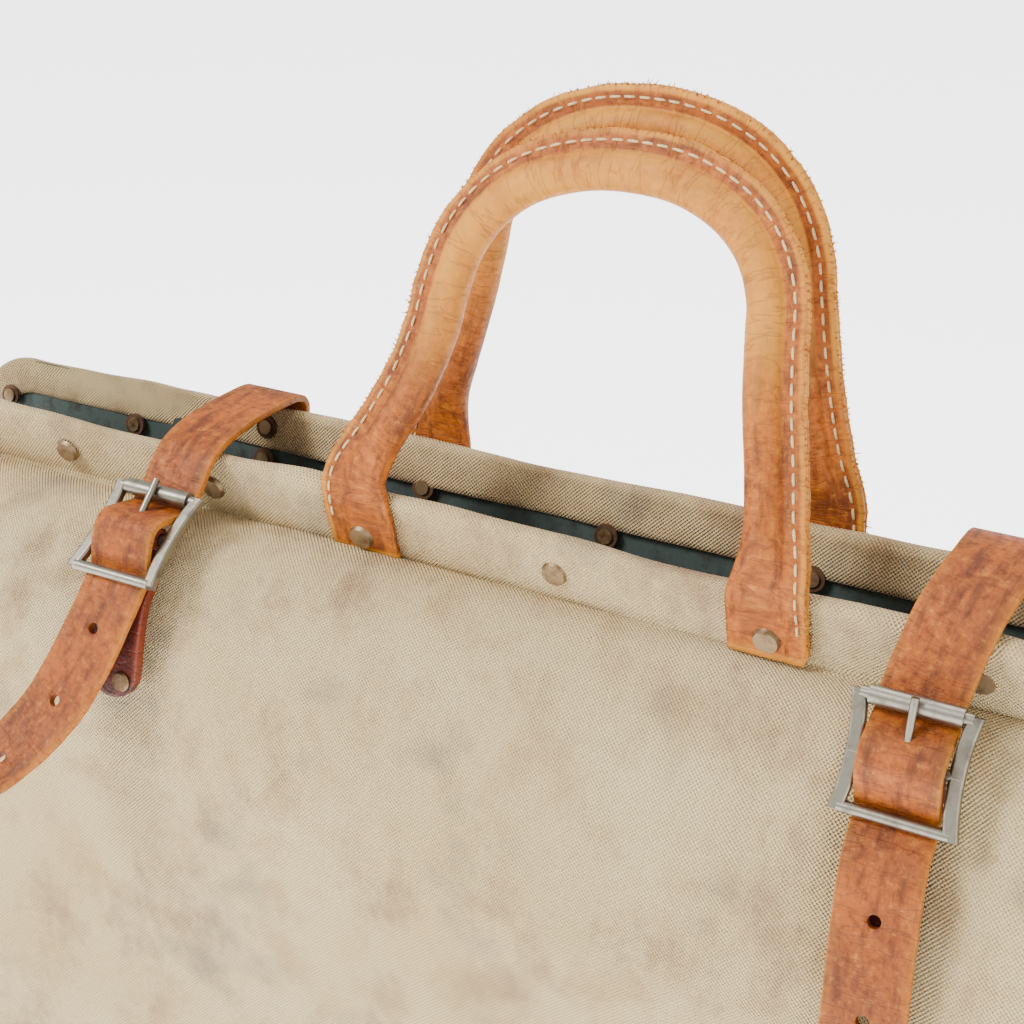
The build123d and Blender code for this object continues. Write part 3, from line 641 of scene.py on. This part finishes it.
def tray():
    """Leather base with its sewn edges. Steps are (inset, height) up the outside and down the inside."""
    steps = (
        (62, 4.1), (6, 4.1), (2.2, 4.5), (0.6, 5.8), (0.0, 9), (-0.3, 16), (-0.2, 24), (0.0, 30),
        (0.1, 33.5), (0.35, 35.0), (0.9, 35.8), (1.5, 35.9), (2.1, 35.4), (2.5, 34), (2.6, 30),
        (2.6, 9), (3.4, 7), (62, 6.7),
    )
    rings = []
    for inset, z in steps:
        ring = base_outline(inset)
        rings.append(np.column_stack([ring, np.full(len(ring), z)]))
    rings = np.array(rings)
    wave = 0.5 * field(rings * np.array((1, 1, 0)), 60, 31)
    rings[..., 2] += wave * smooth((rings[..., 2] - 18) / 16)
    edge = np.array([0.1, 0.3, 0.9, 0.6, 0.2, 0, 0, 0, 0.2, 0.7, 1, 1, 0.8, 0.3, 0, 0, 0, 0])
    wear = np.repeat(edge[:, None], rings.shape[1], 1)
    piece = loft("base_tray", rings, TRAY_LEATHER, "bag", {"wear": wear})
    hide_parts("base_leather")
    parts = []
    for z in (32.2, 8.4):
        ring = base_outline(-0.35)
        line = np.column_stack([ring, np.full(len(ring), z)])
        line = np.vstack([line, line[:1]])
        ups = unit(line * np.array((0.25, 1, 0)))
        parts += stitch_row(line, ups, 4.6, 0.68, 0.48)
    stitches = joined("base_stitches", parts, THREAD, "bag")


tray()


# ---------------------------------------------------------------- handles
HANDLE_LEAN = {-1: math.radians(25.0), 1: math.radians(5.0)}
HANDLE_HINGE_R = 96.5
HANDLE_HINGE_OUT = 4.6
# (x, height above the hinge) of each handle's roll, from the right tab over the arch to the left tab
HANDLE_ROUTES = {
    -1: (
        (71.6, 5), (70.4, 16), (66.5, 34), (61.5, 54), (58, 72), (55.5, 86), (49, 99), (37.5, 109.5),
        (21, 116.5), (3, 118.4), (-14, 116.8), (-31, 110.5), (-43.5, 100), (-50.5, 87), (-52.8, 73),
        (-54, 57), (-59, 37), (-67, 18), (-71.4, 5),
    ),
    1: (
        (70.6, 5), (68, 16), (63, 34), (58.5, 54), (55, 72), (52.5, 85), (46, 98.5), (34.5, 109.5),
        (18.5, 116.5), (1, 118.4), (-17, 116.5), (-33.5, 109.5), (-46.5, 98.5), (-54, 85), (-56.5, 72),
        (-60.5, 54), (-65.5, 34), (-70.5, 16), (-71.6, 5),
    ),
}


def handle_place(x, s, side):
    """A point in a handle's plane, s up from its hinge."""
    lean = HANDLE_LEAN[side]
    origin = on_frame(0, HANDLE_HINGE_R, HANDLE_HINGE_OUT, side)
    return origin + np.array((x, s * math.sin(lean), s * math.cos(lean)))


def handle_line(side):
    """Middle of the rolled part, from one tab up over the arch to the other, and the facing normals."""
    lean = HANDLE_LEAN[side]
    frame_normal = np.array((0, side * math.cos(LEAN), -math.sin(LEAN)))
    handle_normal = np.array((0, side * math.cos(lean), -side * math.sin(lean)))
    tab = [on_frame(TAB_X, r, 4.5, side) for r in (69.4, 77.0, 85.0, 92.0)]
    roll = [handle_place(x, s, side) for x, s in HANDLE_ROUTES[side]]
    points = tab + roll + [p * np.array((-1, 1, 1)) for p in tab[::-1]]
    normals = [frame_normal] * len(tab) + [handle_normal] * len(roll) + [frame_normal] * len(tab)
    line = through(points, 1.8)
    places = lengths(np.array(points))
    fine = lengths(line)
    fine = fine * places[-1] / fine[-1]
    facing = np.column_stack([np.interp(fine, places, np.array(normals)[:, k]) for k in range(3)])
    return line, unit(facing)


def grip_section(full, reach, spread):
    """Section of the rolled leather: a roll and a flange of two edges, flattened at the tab."""
    half_w, half_t = mix(10.2, GRIP_R, full), mix(TAB_HALF_T, GRIP_R, full)
    power = mix(0.45, 1.0, full)
    flange = mix(TAB_HALF_T, FLANGE_HALF_T, smooth(full * 3))
    start = math.asin(min(0.9, flange / half_t * 0.93)) if full > 0.2 else 0.5
    ring = [(q, flange) for q in np.linspace(reach - 0.5, half_w * mix(0.9, 0.98, full) + 0.6, 7)]
    for a in np.linspace(start, 2 * math.pi - start, 30):
        c, s = math.cos(a), math.sin(a)
        wide, thick = math.copysign(abs(c) ** power, c), math.copysign(abs(s) ** power, s)
        ring.append((half_w * wide, half_t * thick))
    ring += [(q, -flange) for q in np.linspace(half_w * mix(0.9, 0.98, full) + 0.6, reach - 0.5, 7)]
    ring += [
        (reach - 0.1, -flange * 0.75), (reach - 0.05, -flange * 0.4 - spread), (reach - 1.3, -0.12),
        (reach - 1.3, 0.12), (reach - 0.05, flange * 0.4 + spread), (reach - 0.1, flange * 0.75),
    ]
    return ring


def handle(side, word):
    """A handle's rolled leather with its tabs, two rows of stitches and a frayed edge."""
    line, facing = handle_line(side)
    tangent = unit(np.gradient(line, axis=0))
    out = unit(np.cross(tangent, facing)) * (-side)
    facing = unit(facing - (facing * tangent).sum(1, keepdims=True) * tangent)
    at = lengths(line)
    from_tab = np.minimum(at, at[-1] - at)
    full = smooth((from_tab - 16) / 34)
    sections = []
    for k, place in enumerate(line):
        ragged = 0.45 * noise.noise(Vector(place) / 9) + 0.3 * noise.noise(Vector(place) / 2.1)
        reach = mix(TAB_REACH, FLANGE_REACH, full[k]) + ragged
        end_round = 4.2 * (1 - smooth(from_tab[k] / 4.0)) * 0.25
        spread = 0.15 + 0.2 * noise.noise(Vector(place) / 5)
        sections.append(grip_section(full[k], reach - end_round, spread))
    line = line + facing * (0.5 * field(line, 26, 40 + side) * full)[:, None]
    rings = sweep(line, out, facing, np.array(sections))
    skin = rings + facing[:, None] * (0.16 * field(rings, 4.5, 44))[..., None]
    wear = np.zeros(rings.shape[:2])
    wear[:, 7:37] = 0.75 * smooth((from_tab - 60) / 50)[:, None]
    wear[:, -8:] = 0.9
    wear[:, :2] = 0.6
    wear[:2] = wear[-2:] = 0.8
    piece = loft(f"{word}_handle_leather", skin, HANDLE_LEATHER, values={"wear": wear})
    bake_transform(piece)
    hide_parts(f"{word}_handle_grip", f"{word}_handle_tabs", f"{word}_handle_core")

    seam = mix(13.6, 9.4, full)[:, None]
    parts = []
    for face in (1, -1):
        height = (mix(TAB_HALF_T, FLANGE_HALF_T, smooth(full * 3)) + 0.12)[:, None] * face
        row = (line + out * seam + facing * height)[5:-5]
        parts += stitch_row(row, facing[5:-5] * face, 5.4, 0.74, 0.5)
    stitches = joined(f"{word}_handle_stitches", parts, THREAD)
    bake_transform(stitches)

    hairs = []
    for _ in range(FRAY_HAIRS):
        k = draw.randrange(4, len(line) - 4)
        across = draw.choice((draw.uniform(1.0, 2.2), draw.uniform(-2.2, -1.0)))
        root = line[k] + out[k] * (mix(TAB_REACH, FLANGE_REACH, full[k]) - 0.5) + facing[k] * across
        way = unit(out[k] + tangent[k] * draw.uniform(-1.1, 1.1) + facing[k] * draw.uniform(-0.8, 0.8))
        size = draw.uniform(0.5, 1.5) if draw.random() < 0.93 else draw.uniform(1.5, 3.0)
        thick = draw.uniform(0.08, 0.2)
        side_a = unit(np.cross(way, tangent[k] + 0.01)) * thick
        side_b = unit(np.cross(way, side_a)) * thick
        tip = root + way * size
        bend = root + way * size * 0.55 + side_a * draw.uniform(-2, 2)
        verts = [root + side_a, root - side_a * 0.5 + side_b, root - side_a * 0.5 - side_b]
        verts += [bend + (v - root) * 0.7 for v in verts] + [tip]
        faces = [(2, 1, 0), (0, 1, 4, 3), (1, 2, 5, 4), (2, 0, 3, 5), (3, 4, 6), (4, 5, 6), (5, 3, 6)]
        hairs.append((np.array(verts), faces))
    fray = joined(f"{word}_handle_fray", hairs, RAW_LEATHER)
    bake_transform(fray)


handle(-1, "front")
handle(1, "rear")


# ---------------------------------------------------------------- straps, chapes and buckles
# Each buckle's centre bar as (y, z), and how far its strap tilts from hanging straight down
SEATS = {
    "left": {"bar": (-59.5, 340.5), "tilt": math.radians(55.0)},
    "right": {"bar": (-50.2, 328.0), "tilt": math.radians(23.0)},
}
# (y, z) of each strap's middle, over the mouth
OVER_MOUTH = {
    "left": ((28.4, 360.2), (24.2, 364.2), (12.0, 365.2), (-10.0, 364.6), (-28.0, 359.8)),
    "right": ((28.0, 362.5), (20.5, 370.0), (6.0, 374.5), (-12.0, 373.5), (-26.5, 363.0)),
}
# (down, out) of a strap through its buckle: behind the outer bar, over the centre bar, behind the other
WEAVE = (
    (-19, -5.6), (-13.5, -4.6), (-8.5, 0.2), (-3.2, 5.4), (1.5, 6.3), (8, 2.6), (13.5, -2.6), (18.5, -4.2),
)
TAILS = {
    "left": (
        (-80.8, 312.0), (-87.0, 299.0), (-94.0, 287.0), (-102.5, 277.5), (-112.5, 270.0), (-126.0, 263.5),
    ),
    "right": (
        (-64.5, 300.5), (-70.8, 287.0), (-76.2, 273.0), (-80.6, 259.0), (-84.4, 244.0), (-87.0, 229.0),
        (-89.5, 204.0),
    ),
}
SPARE_HOLES = {"left": slice(0, 5, 2), "right": slice(1, 6, 2)}
# How far along the bag each tail's tip has moved from its buckle
DRIFT = {"left": -30.0, "right": 8.0}
# How far each strap stands off its buckle's middle, from its rear end to the buckle
MOUTH_DRIFT = {"left": (0,) * 10, "right": (4, 4, 4, 5, 6, 7, 8, 9, 8, 4)}
# (y, z) of each chape's lower part, from its buckle down to its end
CHAPE_ENDS = {
    "left": ((-73.2, 312.5), (-77.2, 299.5), (-80.0, 286.0)),
    "right": ((-55.5, 297.0), (-62.0, 284.0), (-67.5, 272.0)),
}


def seat_point(name, down, out):
    """(y, z) near a buckle: down along the strap from its centre bar, out away from the bag."""
    (y, z), tilt = SEATS[name]["bar"], SEATS[name]["tilt"]
    c, s = math.cos(tilt), math.sin(tilt)
    return (y - down * s - out * c, z - down * c + out * s)


def strap_route(name):
    """Middle line of a strap and where its spare holes are."""
    rise = [tuple(on_frame(0, r, 4.9, 1)[1:]) for r in (69.5, 75.5, 81.5, 87.0, 92.0)]
    threaded = [seat_point(name, down, out) for down, out in WEAVE]
    route = rise + list(OVER_MOUTH[name]) + threaded + list(TAILS[name])
    bend = len(rise) + len(OVER_MOUTH[name]) + len(WEAVE)
    points = []
    for k, (y, z) in enumerate(route):
        share = max(0, k - bend + 1) / len(TAILS[name])
        drift = MOUTH_DRIFT[name][k] if k < len(MOUTH_DRIFT[name]) else DRIFT[name] * share**1.2
        points.append((STRAP_X[name] + drift, y, z))
    return np.array(points), points[bend:][SPARE_HOLES[name]]


def strap(name):
    """A strap from the rear frame over the mouth, through its buckle, to its hanging tail."""
    points, holes = strap_route(name)
    line = through(points, 1.5)
    at = lengths(line)
    tangent = unit(np.gradient(line, axis=0))
    normal = unit(np.cross(np.array((1.0, 0, 0)), tangent))
    across = unit(np.cross(tangent, normal))
    left_over = at[-1] - at
    sections = []
    for k in range(len(line)):
        tip = math.sqrt(max(0.0, 1 - (1 - min(1.0, (left_over[k] + 0.6) / 13)) ** 2))
        heel = mix(0.9, 1.0, smooth(at[k] / 4))
        ragged = 0.16 * noise.noise(Vector(line[k]) / 6)
        sections.append(rounded_box((STRAP_HALF + ragged) * max(0.2, tip) * heel, STRAP_T / 2, 0.75))
    sections = np.array(sections)
    cup = 0.35 * (sections[..., 0] / STRAP_HALF) ** 2
    sections[..., 1] -= cup * smooth((at - at[-1] + 75) / 20)[:, None]
    rings = sweep(line, across, normal, sections)
    wear = smooth((np.abs(sections[..., 0]) - STRAP_HALF + 1.2) / 1.0) * 0.45
    piece = loft(f"strap_{name}_leather", rings, LEATHER, values={"wear": wear})
    cut_holes(piece, line, normal, holes)
    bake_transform(piece)
    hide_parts(f"strap_{name}")


def cut_holes(piece, line, normal, holes):
    """Punch round holes through a strap, as a clean cut in its mesh."""
    shape = bmesh.new()
    for place in holes:
        k = int(np.argmin(np.linalg.norm(line - np.array(place), axis=1)))
        turn = Vector(normal[k]).to_track_quat("Z", "Y").to_matrix().to_4x4()
        bmesh.ops.create_cone(
            shape, segments=20, radius1=HOLE_R * MM, radius2=HOLE_R * MM, depth=12 * MM, cap_ends=True,
            matrix=Matrix.Translation(Vector(line[k]) * MM) @ turn,
        )
    mesh = bpy.data.meshes.new("punch")
    shape.to_mesh(mesh)
    shape.free()
    cutter = bpy.data.objects.new("punch", mesh)
    bpy.context.scene.collection.objects.link(cutter)
    change = piece.modifiers.new("holes", "BOOLEAN")
    change.operation = "DIFFERENCE"
    change.solver = "EXACT"
    change.object = cutter
    bpy.context.view_layer.update()
    result = bpy.data.meshes.new_from_object(piece.evaluated_get(bpy.context.evaluated_depsgraph_get()))
    piece.modifiers.clear()
    piece.data = result
    bpy.data.objects.remove(cutter)


def chape(name):
    """Dark strap end that holds the buckle: two layers, a loop round the bar, a rounded lower end."""
    ends = CHAPE_ENDS[name]
    second = seat_point(name, 10.0, -9.1)
    third = seat_point(name, 19.0, -10.5)
    first = seat_point(name, 1.5, -4.2)
    points = [(STRAP_X[name], y, z) for y, z in ends[::-1] + (third, second)]
    line = through(points, 1.3)
    at = lengths(line)
    tangent = unit(np.gradient(line, axis=0))
    normal = unit(np.cross(tangent, np.array((1.0, 0, 0))))
    across = np.repeat(np.array([[1.0, 0, 0]]), len(line), axis=0)
    sections = []
    for k in range(len(line)):
        tip = math.sqrt(max(0.0, 1 - (1 - min(1.0, (at[k] + 0.5) / 11.5)) ** 2))
        top = mix(0.93, 1.0, smooth((at[-1] - at[k]) / 3))
        section = np.array(rounded_box(CHAPE_HALF * max(0.22, tip) * top, CHAPE_HALF_T, 0.8, 12))
        ridge = np.abs(np.abs(section[:, 0]) - 9.4 * tip) < 0.9
        section[:, 1] -= np.where(ridge, 0.35 * np.sign(section[:, 1]), 0)
        sections.append(section)
    rings = sweep(line, across, normal, np.array(sections))
    wear = smooth((np.abs(np.array(sections)[..., 0]) - 10.2) / 1.0) * 0.7
    piece = loft(f"chape_{name}_leather", rings, DARK_LEATHER, values={"wear": wear})
    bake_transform(piece)
    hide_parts(f"chape_{name}")
    bar = np.array((0, *SEATS[name]["bar"]))
    for word, x in (("a", -LUG_X), ("b", LUG_X)):
        route = [(STRAP_X[name] + x, *p) for p in (second, first)]
        lug = through(route, 1.0)
        lug_tangent = unit(np.gradient(lug, axis=0))
        lug_normal = unit(np.cross(lug_tangent, np.array((1.0, 0, 0))))
        lug_across = np.repeat(np.array([[1.0, 0, 0]]), len(lug), axis=0)
        rings = sweep(lug, lug_across, lug_normal, rounded_box(LUG_HALF, 1.7, 0.7))
        no_wear = {"wear": np.zeros(rings.shape[:2])}
        strip = loft(f"chape_{name}_lug_{word}", rings, DARK_LEATHER, f"chape_{name}", no_wear)
        turns = []
        for a in np.radians(np.arange(0, 360, 12)):
            ray = np.array((0, math.cos(a), math.sin(a)))
            centre = bar + np.array((STRAP_X[name] + x, 0, 0)) + ray * BAR_EYE_R
            section = rounded_box(LUG_HALF, 1.0, 0.5, 5)
            turns.append([centre + p * np.array((1.0, 0, 0)) + q * ray for p, q in section])
        no_wear = {"wear": np.zeros((len(turns), len(turns[0])))}
        eye = loft(f"chape_{name}_eye_{word}", turns, DARK_LEATHER, f"chape_{name}", no_wear, loop=True)


for buckle_side in ("left", "right"):
    strap(buckle_side)
    chape(buckle_side)


# ---------------------------------------------------------------- CAD nodes that show
FINISHES = {
    "frame_bar": STEEL,
    "rivet": RIVETS,
    "burrs": BURRS,
    "feet": RIVETS,
    "pins": RIVETS,
    "buckle": NICKEL,
    "board": BOARD,
    "core": ROPE,
    "base_canvas": CANVAS_SHADED,
}
for node_name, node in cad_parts.items():
    for key, finish in FINISHES.items():
        if key in node_name:
            node.data.materials.clear()
            node.data.materials.append(finish)


# ---------------------------------------------------------------- floor, light, camera
floor_mesh = bpy.data.meshes.new("floor")
floor_mesh.from_pydata([(-30, -30, 0), (30, -30, 0), (30, 30, 0), (-30, 30, 0)], [], [(0, 1, 2, 3)])
floor_paint = Nodes("pale_floor")
floor_mesh.materials.append(
    floor_paint.finish((0.95, 0.95, 0.95, 1), 0.9, None, Emission_Color=(1, 1, 1, 1), Emission_Strength=2.8)
)
floor = bpy.data.objects.new("floor", floor_mesh)
bpy.context.scene.collection.objects.link(floor)

world = bpy.data.worlds.new("studio")
world.use_nodes = True
world.node_tree.nodes["Background"].inputs["Color"].default_value = (1, 1, 1, 1)
world.node_tree.nodes["Background"].inputs["Strength"].default_value = 1.0
bpy.context.scene.world = world


def softbox(name, place, aim, size, power):
    """A rectangular area light that faces a point."""
    light = bpy.data.lights.new(name, "AREA")
    light.shape = "RECTANGLE"
    light.size, light.size_y = size
    light.energy = power
    lamp = bpy.data.objects.new(name, light)
    lamp.location = place
    lamp.rotation_euler = (Vector(aim) - Vector(place)).to_track_quat("-Z", "Y").to_euler()
    bpy.context.scene.collection.objects.link(lamp)


softbox("key", (-0.9, -1.0, 1.7), (0, 0, 0.25), (0.6, 0.6), 46)
softbox("fill", (1.3, -0.9, 0.9), (0, 0, 0.3), (1.0, 1.0), 6)
softbox("top", (0.1, 0.5, 1.8), (0, 0, 0.3), (1.2, 0.8), 16)

CAMERA_PLACE = (0.2212, -0.4508, 0.5981)
AZIMUTH, PITCH, ROLL = math.radians(29.0), math.radians(25.65), math.radians(-0.18)
LENS = 58.42
level = math.cos(PITCH)
forward = Vector((-math.sin(AZIMUTH) * level, math.cos(AZIMUTH) * level, -math.sin(PITCH)))
camera_data = bpy.data.cameras.new("camera")
camera_data.sensor_width = 36.0
camera_data.lens = LENS
camera = bpy.data.objects.new("camera", camera_data)
aim = forward.to_track_quat("-Z", "Y").to_matrix().to_4x4()
camera.matrix_world = Matrix.Translation(CAMERA_PLACE) @ aim @ Matrix.Rotation(ROLL, 4, "Z")
bpy.context.scene.collection.objects.link(camera)
bpy.context.scene.camera = camera
